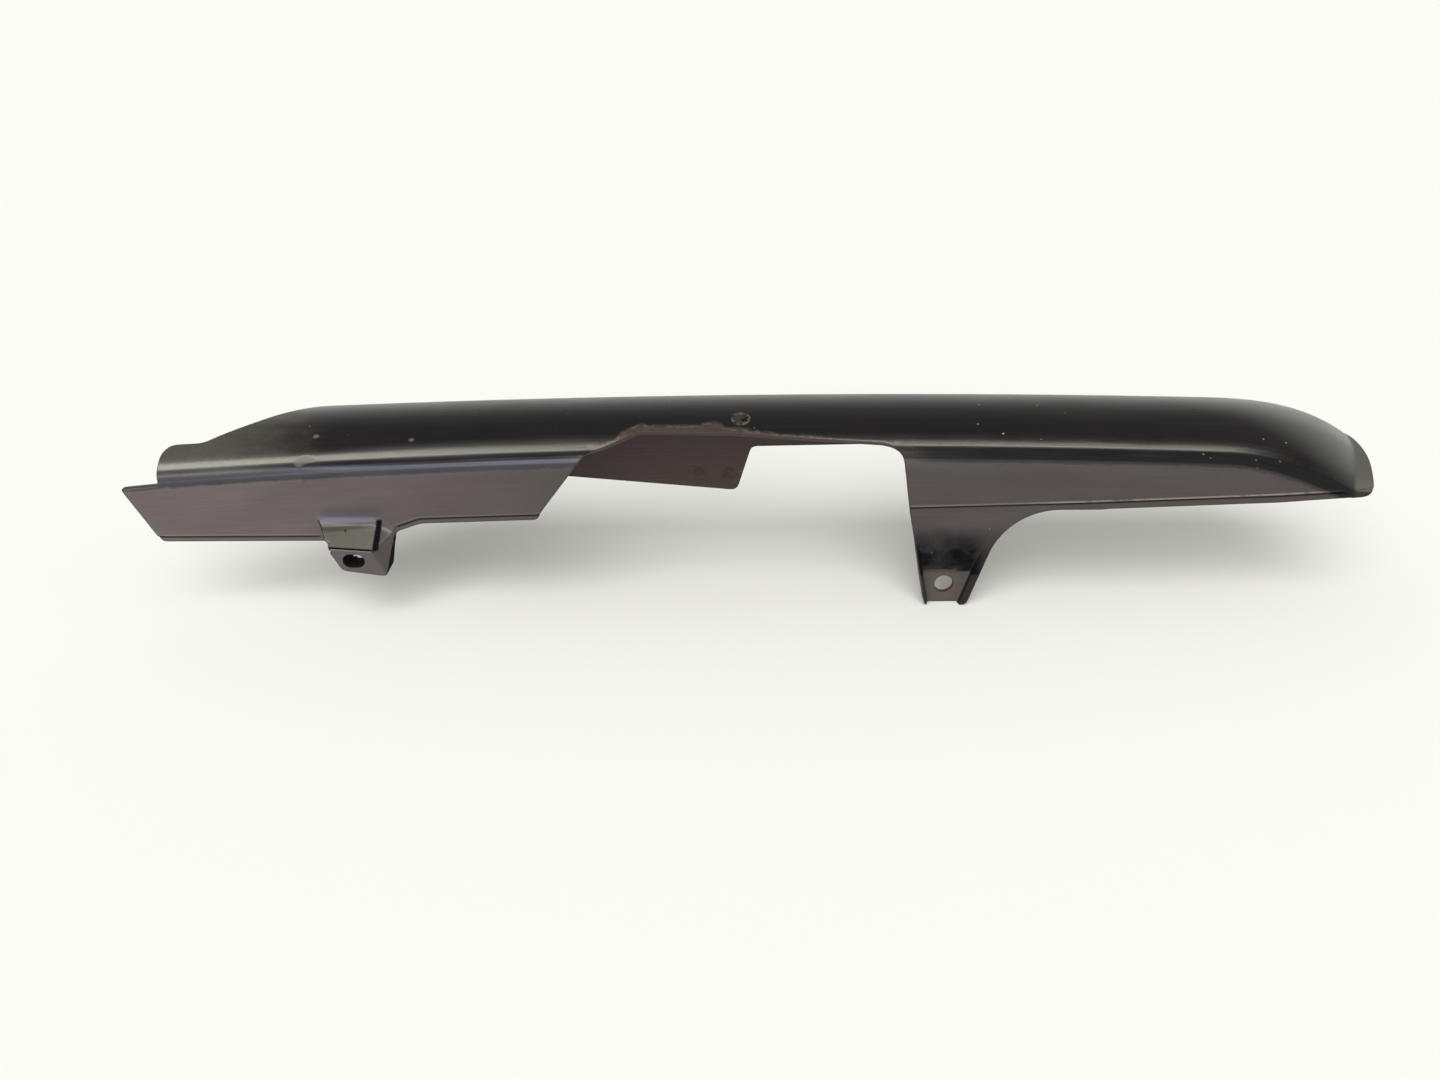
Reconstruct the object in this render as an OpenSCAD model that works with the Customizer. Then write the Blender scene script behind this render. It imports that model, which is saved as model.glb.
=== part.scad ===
// Motorcycle chain guard, one injection-moulded piece.
// X runs along the guard with the front end at minus, the outer skirt faces minus Y and Z is up.
// The origin is the centre of the rear bolt hole, on the face of its pad.

/* [Body] */
// Thickness of the moulded wall
wall = 2.2; // [1.8:0.1:2.6]
// Front end of the roof, from the rear bolt
roof_front = -323.4; // [-330:0.2:-312]
// Foremost point of the pointed ear, from the rear bolt
ear_front = -338.4; // [-350:0.2:-336]
// Rearmost point of the lip, from the rear bolt
lip_rear = 176.6; // [170:0.2:186]
// Height over the rear bolt of the crease between skirt and roof
crease_h = 65; // [60:0.5:70]
// Radius of the bow that the crease makes along the guard
bow_r = 3800; // [2600:100:6000]
// Place of the top of that bow, from the rear bolt
bow_x = -62; // [-110:1:-30]
// Radius of the flatter bow of the roof
roof_bow_r = 5700; // [4200:100:9000]

/* [Section] */
// Radius of the tight crease
crease_r = 5.5; // [4:0.5:7]
// Angle that the crease turns through, from the upright skirt
crease_turn = 50; // [44:1:54]
// Radius of the arched roof
arch_r = 40; // [37:0.5:44]
// Angle at which the arch runs down on its far side
arch_fall = 45; // [38:1:50]
// Radius of the shoulder between roof and inner wall
shoulder_r = 10; // [6:1:14]
// Angle that the inner wall leans out from upright
wall_lean = 3; // [1:0.5:5]

/* [Skirt] */
// Depth of the skirt below the crease at the front end
front_depth = 40; // [37:0.5:43]
// Depth of the skirt below the crease between the front bracket and the opening
middle_depth = 31.8; // [29:0.2:34]
// Depth of the skirt below the crease behind the rear tab
rear_depth = 28.5; // [26:0.2:31]
// Rise of the rear skirt edge toward the lip
rear_rise = 5.2; // [4:0.2:8]
// Height of the stepped hem along the lower edge
hem_h = 2.8; // [2:0.2:4]
// Depth that the hem is set back from the skirt face
hem_step = 0.8; // [0.5:0.1:1.1]
// Front end of the opening in the skirt, from the rear bolt
cut_front = -169.8; // [-178:0.2:-162]
// Rear end of the opening in the skirt, from the rear bolt
cut_rear = -22.8; // [-26:0.1:-20]
// Height of the top of the opening over the crease
cut_top = 4.5; // [2:0.2:7]

/* [Inner wall] */
// Place of the deepest point of the inner wall, from the rear bolt
lobe_rear = -88; // [-100:0.2:-80]
// Depth of the lobe of the inner wall below the crease
lobe_depth = 45.5; // [42:0.5:50]
// Depth of the shallow rear stretch of the inner wall
inner_depth = 23; // [20:0.2:28]

/* [Rear tab] */
// Diameter of the rear bolt hole
hole_d = 8; // [6:0.5:9]
// Depth of the pad below the side ribs
tray_depth = 3.2; // [2:0.2:4]
// Width of the front side rib
rib_w = 1.6; // [1.2:0.1:2.4]
// Width of the rear side rib
rear_rib_w = 3.4; // [2:0.2:4]
// Distance of the tab's lower edge below the bolt
tab_below = 8.8; // [8:0.2:12]
// Width of the lower end of the tab
tab_w = 18; // [17:0.1:21]
// Height of the pad's upper edge over the bolt
pad_rise = 5.7; // [5:0.1:8]
// Radius of the hollow between the tab and the skirt behind it
tab_fillet = 28; // [20:1:36]

/* [Front bracket] */
// Distance between the rear bolt and the front slot
bolt_pitch = 247; // [243:0.5:251]
// Height of the front slot over the rear bolt
slot_rise = 20; // [18:0.5:22]
// Length of the front slot
slot_l = 8.6; // [7:0.2:10]
// Height of the front slot
slot_h = 5.6; // [5:0.2:6.4]
// Distance that the bracket stands out from the skirt
bracket_out = 8; // [6:0.5:10]
// Width of the hollow at the foot of the bracket, where it runs into the skirt
bracket_foot = 2.4; // [1:0.2:4]

/* [Hidden] */
$fn = 48;
eps = 0.01;
over = 5;
// Heights in the part's modules are measured from the crease, and depths from the skirt's outer face.
bow_top = 1.3;
roof_sink = 0.35;
flat_top = -crease_r * sin(crease_turn);
arc_step = 5.5;
wall_bottom = -58;
skirt_bottom = -50;
mid_y = 30;
far_y = 90;
pad_y = hem_step + tray_depth;
// The rear end closes like a duck's bill over bill_l, and ends in a flatter lip.
bill_l = 57;
roof_bill_l = 70;
crease_drop = 15;
roof_drop = 14.6;
lip_w = 12.8;
lip_skew = 0.3;
bill_end = lip_rear - lip_w;
lip_fall = 0.25;
blend_y = 20;
station_step = 3;

// Directions by the angle turned from the upright skirt, the way a bent sheet turns.
function out(turn) = [-cos(turn), sin(turn)];
function along(turn) = [sin(turn), cos(turn)];
function arc(centre, r, from, to) =
    let (n = max(2, ceil((to - from) / arc_step)))
    [for (i = [1:n]) let (a = from + (to - from) * i / n) [centre + r * out(a), out(a)]];

// Outer face of the section, from the flat of the skirt to the inner wall: each point and its outward direction.
crease_c = [crease_r, flat_top];
arch_c = crease_c + (crease_r - arch_r) * out(crease_turn);
arch_end = 90 + arch_fall;
shoulder_c = arch_c + (arch_r - shoulder_r) * out(arch_end);
wall_turn = 180 - wall_lean;
wall_start = shoulder_c + shoulder_r * out(wall_turn);
wall_run = (wall_start[1] - wall_bottom) / cos(wall_lean);
section = concat(
    [[[0, flat_top], out(0)]],
    arc(crease_c, crease_r, 0, crease_turn),
    arc(arch_c, arch_r, crease_turn, arch_end),
    arc(shoulder_c, shoulder_r, arch_end, wall_turn));

// How far the section has dropped at a place in plan. The skirt's top edge drops first, the roof later.
function mix(a, b, t) = a + (b - a) * t;
function clamp(t) = max(0, min(1, t));
function smooth(t) = let (s = clamp(t)) s * s * (3 - 2 * s);
function ramp(u, run) = clamp((u - bill_end + run) / run);
function drop_crease(u) = crease_drop * (1 - cos(90 * ramp(u, bill_l)));
function drop_roof(u) = roof_drop * pow(ramp(u, roof_bill_l), 3) + max(0, u - bill_end) * lip_fall;
function drop(x, y) = let (u = x - lip_skew * y) mix(drop_crease(u), drop_roof(u), smooth(y / blend_y));
// Both bows along the guard: the crease's, and the roof's flatter one.
function bow(x, y) = let (t = smooth(y / blend_y))
    bow_top - roof_sink * t - pow(x - bow_x, 2) / 2 * mix(1 / bow_r, 1 / roof_bow_r, t);

// One line of the shell at x, from the skirt's edge over the roof to the wall's edge, at a depth in the wall.
function face(x, depth) = concat(
    [[x, depth, skirt_bottom]],
    [for (s = section) let (p = s[0] - depth * s[1]) [x, p[0], p[1] + bow(x, s[0][0]) - drop(x, s[0][0])]],
    [let (p = wall_start + wall_run * along(wall_turn) - depth * out(wall_turn)) [x, p[0], p[1]]]);
shell_front = ear_front - 4;
bill_start = bill_end - max(bill_l, roof_bill_l);
straight = [for (i = [0:12]) mix(shell_front, bill_start, i / 12)];
curved = [for (x = [bill_start + station_step : station_step : lip_rear + 4]) x];
stations = concat(straight, curved);

// The shell between the outer and the inner face, lofted along the stations.
module shell() {
    outer = [for (x = stations) face(x, 0)];
    inner = [for (x = stations) face(x, wall)];
    rings = len(stations);
    m = len(section) + 2;
    in0 = rings * m;
    points = concat([for (line = outer) each line], [for (line = inner) each line]);
    function quad(a, b, c, d) = [[a, b, c], [a, c, d]];
    faces = concat(
        [for (i = [0:rings - 2]) for (j = [0:m - 2]) let (a = i * m + j)
            each quad(a, a + 1, a + m + 1, a + m)],
        [for (i = [0:rings - 2]) for (j = [0:m - 2]) let (a = in0 + i * m + j)
            each quad(a, a + m, a + m + 1, a + 1)],
        [for (i = [0:rings - 2]) for (j = [0, m - 1]) let (a = i * m + j, b = in0 + a)
            each j == 0 ? quad(a, a + m, b + m, b) : quad(a, b, b + m, a + m)],
        [for (i = [0, rings - 1]) for (j = [0:m - 2]) let (a = i * m + j, b = in0 + a)
            each i == 0 ? quad(a, b, b + 1, a + 1) : quad(a, a + 1, b + 1, b)]);
    polyhedron(points, faces, convexity = 8);
}

// Rounds the corners of an outline whose points are [across, up, corner radius].
function unit(v) = v / norm(v);
function corner(a, p, b, r) =
    let (u = unit(a - p), v = unit(b - p), half = acos(u * v) / 2, c = p + unit(u + v) * r / sin(half),
         s = p + u * r / tan(half) - c, e = p + v * r / tan(half) - c, w = 180 - 2 * half,
         n = max(2, ceil(w / 9)))
    [for (i = [0:n]) c + (s * sin(w * (n - i) / n) + e * sin(w * i / n)) / sin(w)];
function place(p) = [p[0], p[1]];
function rounded(pts) = let (n = len(pts)) [for (i = [0:n - 1])
    each pts[i][2] > 0
        ? corner(place(pts[(i + n - 1) % n]), place(pts[i]), place(pts[(i + 1) % n]), pts[i][2])
        : [place(pts[i])]];

// A solid of an outline in side view from y0 to y1, and one of an outline in plan through every height.
module side_solid(pts, y0, y1)
    translate([0, y1, 0]) rotate([90, 0, 0]) linear_extrude(y1 - y0) polygon(rounded(pts));
module plan_solid(pts)
    translate([0, 0, wall_bottom - over]) linear_extrude(2 * far_y) polygon(rounded(pts));

past_front = shell_front - over;
past_rear = lip_rear + 2 * over;
slot_z = slot_rise - crease_h;
bracket_rear = 17;
tab_bottom = -crease_h - tab_below;
below = tab_bottom - over;
tab_top = hem_h - rear_depth;
// The tab's front edge is the opening's rear edge carried on down.
tab_front = cut_rear + 5;
tab_left_lean = 0.213;
tab_right_lean = 0.29;
tab_l = -rear_depth - tab_bottom;
tab_right = tab_front + tab_l * tab_left_lean + tab_w;
tab_hollow_x = tab_right + tab_l * tab_right_lean;

// The skirt's lower edge, raised by up: in front of the opening, and behind it.
function front_edge(up) = [
    [past_front, -front_depth + 1.4 + up, 0],
    [ear_front + 12.5, -front_depth + up, up > 0 ? 0 : 2.5],
    [0.4 - bolt_pitch + bracket_rear, -front_depth - 0.3 + up, 0],
    [-bolt_pitch + bracket_rear, -middle_depth - 0.8 + up, 9],
    [cut_front - 1.5, -middle_depth + 0.6 + up, 1.5]];
function rear_edge(up) = [
    [tab_front, -rear_depth + up, 0],
    [tab_hollow_x + 32, -rear_depth + up, 60],
    [lip_rear - 43, -rear_depth + rear_rise / 2 + up, 60],
    [lip_rear - 5.4, -rear_depth + rear_rise + up, up > 0 ? 0 : 6]];
// The opening runs past the crease into the roof.
opening_edge = [
    [cut_front, -middle_depth + 4.2, 1.5],
    [cut_front + 19.7, -1.9, 8],
    [cut_front + 41.5, cut_top + 0.4, 14],
    [cut_front + 78, cut_top, 60],
    [cut_rear, cut_top - 3.5, 10]];

module edge_cuts() {
    side_solid(concat([[past_front, below, 0]], front_edge(0), opening_edge, rear_edge(0),
        [[lip_rear + 3, 0, 0], [past_rear, 0, 0], [past_rear, below, 0]]), -over, mid_y);
    // Slanted front edge of the ear
    side_solid([[past_front, 0, 0], [ear_front, -17.6, 1.5], [ear_front + 9.6, -front_depth + 1.4, 0],
        [ear_front + 9.6, below, 0], [past_front, below, 0]], -over, mid_y);
    // Notch over the ear, which also ends the roof
    side_solid([[past_front, -15.7, 0], [roof_front, -13.6, 0.5], [roof_front, mid_y, 0],
        [past_front, mid_y, 0]], -over, far_y);
    // Lower edge of the inner wall, with its lobe
    side_solid([[past_front, -14, 0], [-bolt_pitch - 20, -27.4, 30], [lobe_rear, -lobe_depth, 3],
        [lobe_rear + 6.6, -inner_depth, 2.5], [past_rear, -inner_depth + 3.5, 0],
        [past_rear, below, 0], [past_front, below, 0]], mid_y, far_y);
}

roof_nose = 10.8;
skirt_room = 4.2;
module plan_cuts() {
    // The roof narrows toward its front end
    plan_solid([[past_front, skirt_room, 0], [roof_front, skirt_room, 0], [roof_front, roof_nose, 6],
        [roof_front + 17, roof_nose, 10], [roof_front + 107, 71, 0], [past_front, far_y, 0]]);
    // Rounded outline of the lip
    plan_solid([[lip_rear - 9, -6, 0], [lip_rear - 2, 7, 10], [lip_rear, 64, 27], [lip_rear - 40, 64, 0],
        [lip_rear - 40, far_y, 0], [past_rear, far_y, 0], [past_rear, -6, 0]]);
}

// The step along the lower edge, which lies behind the face of the skirt.
module hem_cuts() {
    side_solid(concat([[past_front, below, 0]], front_edge(hem_h),
        [[cut_front + 1, -middle_depth + 4.2, 0], [cut_front + 3, below, 0]]), -over, hem_step);
    side_solid(concat([[tab_front - 4, below, 0], [tab_front - 4, tab_top, 0]], rear_edge(hem_h),
        [[past_rear, tab_top + rear_rise, 0], [past_rear, below, 0]]), -over, hem_step);
}

// The rear tab is a tapered tray with side ribs, whose face ramps back to a pad round the bolt hole.
ramp_top = -41;
tab_back = pad_y + wall;
module tray_form(front, back) {
    side = [[front, tab_top + over], [wall + back, tab_top + over], [wall + back, ramp_top],
        [tab_back + back, pad_rise - crease_h], [tab_back + back, below], [front, below]];
    translate([tab_front - over, 0, 0]) rotate([90, 0, 90]) linear_extrude(far_y) polygon(side);
}
module rear_tab() difference() {
    intersection() {
        side_solid([
            [tab_front + 1, tab_top, 0],
            [tab_front, -rear_depth, 0],
            [tab_right - tab_w, tab_bottom, 1],
            [tab_right, tab_bottom, 2],
            [tab_hollow_x, -rear_depth, tab_fillet],
            [tab_hollow_x + 40, -rear_depth, 0],
            [tab_hollow_x + 40, tab_top, 0]], hem_step, mid_y);
        tray_form(0, 0);
    }
    intersection() {
        side_solid([
            [tab_front + rib_w + (-rear_depth - ramp_top) * tab_left_lean, ramp_top, 0],
            [tab_front + rib_w + (-rear_depth - below) * tab_left_lean, below, 0],
            [tab_right - rear_rib_w - (tab_bottom - below) * tab_right_lean, below, 0],
            [tab_right - rear_rib_w + (ramp_top - tab_bottom) * tab_right_lean, ramp_top, 0]],
            -over, mid_y);
        tray_form(-over, -wall);
    }
    translate([0, mid_y, -crease_h]) rotate([90, 0, 0]) cylinder(d = hole_d, h = mid_y);
}

// The front bracket is a hollow box that carries the slot. Its outlines are measured from the slot's centre:
// the base lies in the skirt's face and reaches up to the skirt's lower edge, and the pad stands out from it.
base_top = -middle_depth + 1.1 - slot_z;
base_outline = [[-14.6, base_top], [9, base_top], [bracket_rear - 1, base_top - 4.4], [bracket_rear - 0.4, 6.9],
    [bracket_rear - 2.3, 1.8], [12.7, -7.5], [-5.4, -4.6]];
pad_outline = [[-10.2, 6], [7.7, 3.3], [12.7, -7.2], [-5, -5], [-6.8, -3.9]];
function grown(pts, by) = [for (p = pts) p + by * 1.3 * unit(p)];
module slab(pts, y)
    translate([-bolt_pitch, y, slot_z]) rotate([90, 0, 0]) linear_extrude(eps) polygon(pts);
module bracket_form(by, back) hull() {
    slab(grown(base_outline, by), wall + back);
    slab(grown(base_outline, by), 0);
    slab(grown(pad_outline, by), -bracket_out - by);
}
module bracket_root() hull() {
    slab(grown(base_outline, bracket_foot), eps);
    slab(grown(base_outline, 0), -bracket_foot * 0.7);
}
module slot() translate([-bolt_pitch, 0, slot_z]) rotate([90, 0, 0]) linear_extrude(mid_y) {
    square([slot_l - slot_h, slot_h], center = true);
    for (side = [-1, 1]) translate([side * (slot_l - slot_h) / 2, 0]) circle(d = slot_h);
}

module chain_guard() color([0.13, 0.12, 0.12]) translate([0, -pad_y, crease_h]) difference() {
    union() {
        difference() {
            union() {
                shell();
                bracket_root();
            }
            edge_cuts();
            plan_cuts();
            hem_cuts();
        }
        rear_tab();
        bracket_form(0, 0);
    }
    bracket_form(-wall, over);
    slot();
}

chain_guard();
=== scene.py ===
import math

import bmesh
import bpy
import numpy as np
from mathutils import Euler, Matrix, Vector
from mathutils.geometry import delaunay_2d_cdt


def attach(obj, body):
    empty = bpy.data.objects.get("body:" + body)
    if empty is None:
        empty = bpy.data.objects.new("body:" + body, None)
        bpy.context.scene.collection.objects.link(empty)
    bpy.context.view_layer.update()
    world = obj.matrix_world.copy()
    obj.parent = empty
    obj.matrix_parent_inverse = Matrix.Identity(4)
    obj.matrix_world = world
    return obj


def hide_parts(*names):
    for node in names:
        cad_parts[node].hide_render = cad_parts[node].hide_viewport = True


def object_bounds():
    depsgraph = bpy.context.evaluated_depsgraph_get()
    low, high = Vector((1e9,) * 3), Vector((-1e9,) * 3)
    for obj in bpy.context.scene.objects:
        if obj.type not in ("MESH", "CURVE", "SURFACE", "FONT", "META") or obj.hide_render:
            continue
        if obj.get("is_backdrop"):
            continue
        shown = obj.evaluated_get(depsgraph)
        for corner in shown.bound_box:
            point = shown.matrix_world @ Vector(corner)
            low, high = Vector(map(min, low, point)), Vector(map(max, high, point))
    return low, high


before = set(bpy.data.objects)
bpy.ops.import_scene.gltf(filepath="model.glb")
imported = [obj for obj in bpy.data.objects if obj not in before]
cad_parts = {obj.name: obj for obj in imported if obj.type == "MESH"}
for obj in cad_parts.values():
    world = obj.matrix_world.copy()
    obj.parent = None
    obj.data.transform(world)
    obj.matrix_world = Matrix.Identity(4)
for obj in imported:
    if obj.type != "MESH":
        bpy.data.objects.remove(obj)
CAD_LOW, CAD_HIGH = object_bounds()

# The camera stands in front of the guard's middle, less than half a metre away. It looks down at
# the roof and the skirt together, and is rolled by less than half a degree.
SENSOR_MM, LENS_MM = 36, 27.03
CAMERA_AT = (-0.0961, -0.4016, 0.2357)
LOOK_DOWN, CAMERA_ROLL = 28.0, -0.44
scene = bpy.context.scene
camera = bpy.data.objects.new("camera", bpy.data.cameras.new("camera"))
scene.collection.objects.link(camera)
camera.data.sensor_width, camera.data.lens = SENSOR_MM, LENS_MM
camera.location = CAMERA_AT
camera.rotation_euler = (
    Euler((math.radians(90 - LOOK_DOWN), 0, 0)).to_matrix()
    @ Euler((0, 0, math.radians(CAMERA_ROLL))).to_matrix()).to_euler()
camera.data.clip_start, camera.data.clip_end = 0.01, 50
scene.camera = camera

# The guard is one injection moulding in black plastic, about 2 mm thick all over. It is laid out flat
# first, in millimetres: x along the guard from the rear bolt, s across it from the top of the skirt's
# flat, and a height out of the outer face. These are the sizes of its bent section.
MM = 0.001
WALL = 2.2
CREASE_H, PAD_Y = 65.0, 4.0
ROOF_FRONT, EAR_FRONT, LIP_REAR = -323.4, -338.4, 176.6
CREASE_R, CREASE_TURN = 5.5, 50.0
ARCH_R, ARCH_FALL = 40.0, 45.0
SHOULDER_R, WALL_LEAN = 10.0, 3.0
BOW_R, BOW_X, BOW_TOP = 3800.0, -62.0, 1.3
ROOF_BOW_R, ROOF_SINK = 5700.0, 0.4
BILL_L, ROOF_BILL_L, LIP_W = 57.0, 70.0, 12.8
CREASE_DROP, ROOF_DROP, LIP_SKEW, LIP_FALL, BLEND_Y = 15.0, 14.6, 0.3, 0.25, 20.0
BILL_END = LIP_REAR - LIP_W
FLAT_TOP = -CREASE_R * math.sin(math.radians(CREASE_TURN))


def out(turn):
    """Outward direction (y, z) of the section after a turn in degrees from the upright skirt."""
    turn = np.radians(turn)
    return np.stack([-np.cos(turn), np.sin(turn)], -1)


BENDS = [(CREASE_R, 0.0, CREASE_TURN), (ARCH_R, CREASE_TURN, 90 + ARCH_FALL),
         (SHOULDER_R, 90 + ARCH_FALL, 180 - WALL_LEAN)]


def section(s):
    """Outer face of the bent section at s: (y, z) and its outward direction."""
    s = np.asarray(s, float)
    p = np.stack([0 * s, FLAT_TOP + np.minimum(s, 0)], -1)
    turn, start = 0 * s, 0.0
    for radius, low, high in BENDS:
        length = radius * math.radians(high - low)
        here = low + np.degrees(np.clip(s - start, 0, length) / radius)
        p = p + radius * (out(here) - out(low))
        turn = turn + here - low
        start += length
    rest = np.maximum(s - start, 0)[..., None]
    fall = math.radians(180 - WALL_LEAN)
    return p + rest * np.array([math.sin(fall), math.cos(fall)]), out(turn)


def ramp(u, run):
    return np.clip((u - BILL_END + run) / run, 0, 1)


def smooth(t):
    t = np.clip(t, 0, 1)
    return t * t * (3 - 2 * t)


def drop(x, y):
    """How far the duck-bill end has come down at a place in plan."""
    u = x - LIP_SKEW * y
    crease = CREASE_DROP * (1 - np.cos(math.pi / 2 * ramp(u, BILL_L)))
    roof = ROOF_DROP * ramp(u, ROOF_BILL_L) ** 3 + np.maximum(0, u - BILL_END) * LIP_FALL
    share = smooth(y / BLEND_Y)
    return crease * (1 - share) + roof * share


def bow(x, y):
    share = smooth(y / BLEND_Y)
    return BOW_TOP - ROOF_SINK * share - (x - BOW_X) ** 2 / 2 * ((1 - share) / BOW_R + share / ROOF_BOW_R)


LADDER = np.arange(-90, 150, 0.25)
LADDER_P, _ = section(LADDER)
TOP_OF_ARCH = int(np.argmax(LADDER_P[:, 1]))


def across_from_z(points, far=False):
    """(x, z) in side view to (x, s), on the near side or the far side of the arch."""
    rows = []
    for x, z in points:
        heights = LADDER_P[:, 1] + bow(x, LADDER_P[:, 0]) - drop(x, LADDER_P[:, 0])
        if far:
            rows.append((x, np.interp(-z, -heights[TOP_OF_ARCH:], LADDER[TOP_OF_ARCH:])))
        else:
            rows.append((x, np.interp(z, heights[:TOP_OF_ARCH], LADDER[:TOP_OF_ARCH])))
    return np.array(rows)


def across_from_y(points):
    """(x, y) in plan to (x, s). The skirt is upright, so y at 0 is the top of its flat."""
    first = int(np.searchsorted(LADDER, 0))
    return np.array([(x, np.interp(y, LADDER_P[first:, 0], LADDER[first:])
                      if y > 0 else 6 * y) for x, y in points])


def rounded(corners):
    """An outline with its corners (across, up, radius) rounded."""
    made = []
    count = len(corners)
    for i, (x, y, radius) in enumerate(corners):
        p = np.array([x, y])
        if radius <= 0:
            made.append(p)
            continue
        a, b = np.array(corners[i - 1][:2]), np.array(corners[(i + 1) % count][:2])
        u, v = (a - p) / np.linalg.norm(a - p), (b - p) / np.linalg.norm(b - p)
        half = math.acos(np.clip(u @ v, -1, 1)) / 2
        bisector = (u + v) / np.linalg.norm(u + v)
        c = p + bisector * radius / math.sin(half)
        s, e = p + u * radius / math.tan(half) - c, p + v * radius / math.tan(half) - c
        w = math.pi - 2 * half
        n = max(3, math.ceil(math.degrees(w) / 4))
        made += [c + (s * math.sin(w * (n - k) / n) + e * math.sin(w * k / n)) / math.sin(w)
                 for k in range(n + 1)]
    return np.array(made)


def stepped(points, step, closed=True):
    """The same line with a point at least every step."""
    points = np.asarray(points, float)
    ends = np.roll(points, -1, 0) if closed else points[1:]
    made = []
    for a, b in zip(points, ends):
        n = max(1, math.ceil(np.linalg.norm(b - a) / step))
        made += [a + (b - a) * k / n for k in range(n)]
    if not closed:
        made.append(points[-1])
    return np.array(made)


def inside(points, loop):
    """Which points lie inside a closed line."""
    x, y = points[:, 0], points[:, 1]
    hit = np.zeros(len(points), bool)
    for (ax, ay), (bx, by) in zip(loop, np.roll(loop, -1, 0)):
        if ay != by:
            hit ^= ((ay > y) != (by > y)) & (x < (bx - ax) * (y - ay) / (by - ay) + ax)
    return hit


def distance(points, line, closed=True):
    """Distance of points to a line."""
    best = np.full(len(points), 1e9)
    ends = np.roll(line, -1, 0) if closed else line[1:]
    for a, b in zip(line, ends):
        d = b - a
        long2 = max(d @ d, 1e-12)
        t = np.clip(((points - a) @ d) / long2, 0, 1)
        best = np.minimum(best, np.hypot(*(points - a - t[:, None] * d).T))
    return best


def depth_in(points, loop):
    """Distance inside a closed line, negative outside it."""
    d = distance(points, loop)
    return np.where(inside(points, loop), d, -d)


# The side skirt hangs upright from the crease. It has a raked ear at the front, a hem stepped back
# along its lower edge, a wide opening in its middle, and the tab for the rear bolt behind that.
FRONT_DEPTH, MIDDLE_DEPTH, REAR_DEPTH, REAR_RISE = 40.0, 31.8, 28.5, 5.2
HEM_H, HEM_STEP = 2.8, 0.8
CUT_FRONT, CUT_REAR, CUT_TOP = -169.8, -22.8, 4.5
PITCH, SLOT_Z = 247.0, 20 - CREASE_H
TAB_BOTTOM = -CREASE_H - 8.8
BELOW, BEYOND = TAB_BOTTOM - 5, 12.0
TAB_TOP = HEM_H - REAR_DEPTH
TAB_FRONT, TAB_W, TAB_LEFT_LEAN, TAB_RIGHT_LEAN = CUT_REAR + 5, 18.0, 0.213, 0.29
TAB_L = -REAR_DEPTH - TAB_BOTTOM
TAB_RIGHT = TAB_FRONT + TAB_L * TAB_LEFT_LEAN + TAB_W
TAB_HOLLOW_X = TAB_RIGHT + TAB_L * TAB_RIGHT_LEAN
PAST_FRONT, PAST_REAR = EAR_FRONT - 6, LIP_REAR + BEYOND


def front_edge(up):
    return [(PAST_FRONT, -FRONT_DEPTH + 1.4 + up, 0),
            (EAR_FRONT + 12.5, -FRONT_DEPTH + up, 0 if up else 2.5),
            (-PITCH + 15.7, -FRONT_DEPTH - 0.3 + up, 0),
            (-PITCH + 16, -FRONT_DEPTH + 3.6 + up, 2.5),
            (-PITCH + 27, -MIDDLE_DEPTH - 0.7 + up, 12),
            (CUT_FRONT - 1.5, -MIDDLE_DEPTH + 0.6 + up, 1.5)]


REAR_EDGE = [(TAB_FRONT, -REAR_DEPTH, 0), (TAB_HOLLOW_X + 32, -REAR_DEPTH, 60),
             (LIP_REAR - 43, -REAR_DEPTH + REAR_RISE / 2, 60), (LIP_REAR - 5.4, -REAR_DEPTH + REAR_RISE, 6)]
REAR_HEM = [(TAB_FRONT, -REAR_DEPTH + HEM_H - 0.8, 0), (TAB_HOLLOW_X + 32, -REAR_DEPTH + HEM_H + 0.8, 60),
            (LIP_REAR - 43, -REAR_DEPTH + REAR_RISE / 2 + HEM_H + 0.8, 60),
            (LIP_REAR - 5.4, -REAR_DEPTH + REAR_RISE + HEM_H + 0.3, 0)]
OPENING = [(CUT_FRONT, -MIDDLE_DEPTH + 4.2, 1.5), (CUT_FRONT + 19.7, -1.9, 8),
           (CUT_FRONT + 41.5, CUT_TOP + 0.4, 14), (CUT_FRONT + 78, CUT_TOP, 60), (CUT_REAR, CUT_TOP - 3.5, 10)]


def side_loop(corners, step=1.5, far=False):
    return across_from_z(stepped(rounded(corners), step), far)


def plan_loop(corners, step=1.5):
    return across_from_y(stepped(rounded(corners), step))


skirt_cut = side_loop([(PAST_FRONT, BELOW, 0)] + front_edge(0) + OPENING + REAR_EDGE
                      + [(LIP_REAR + 3, 0, 0), (PAST_REAR, 0, 0), (PAST_REAR, BELOW, 0)])
ear_cut = side_loop([(PAST_FRONT, 0, 0), (EAR_FRONT, -17.6, 1.5), (EAR_FRONT + 9.6, -FRONT_DEPTH + 1.4, 0),
                     (EAR_FRONT + 9.6, BELOW, 0), (PAST_FRONT, BELOW, 0)])
notch_cut = side_loop([(PAST_FRONT, -15.7, 0), (ROOF_FRONT, -13.6, 0.8), (ROOF_FRONT, 6, 0),
                       (PAST_FRONT, 6, 0)])

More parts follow.
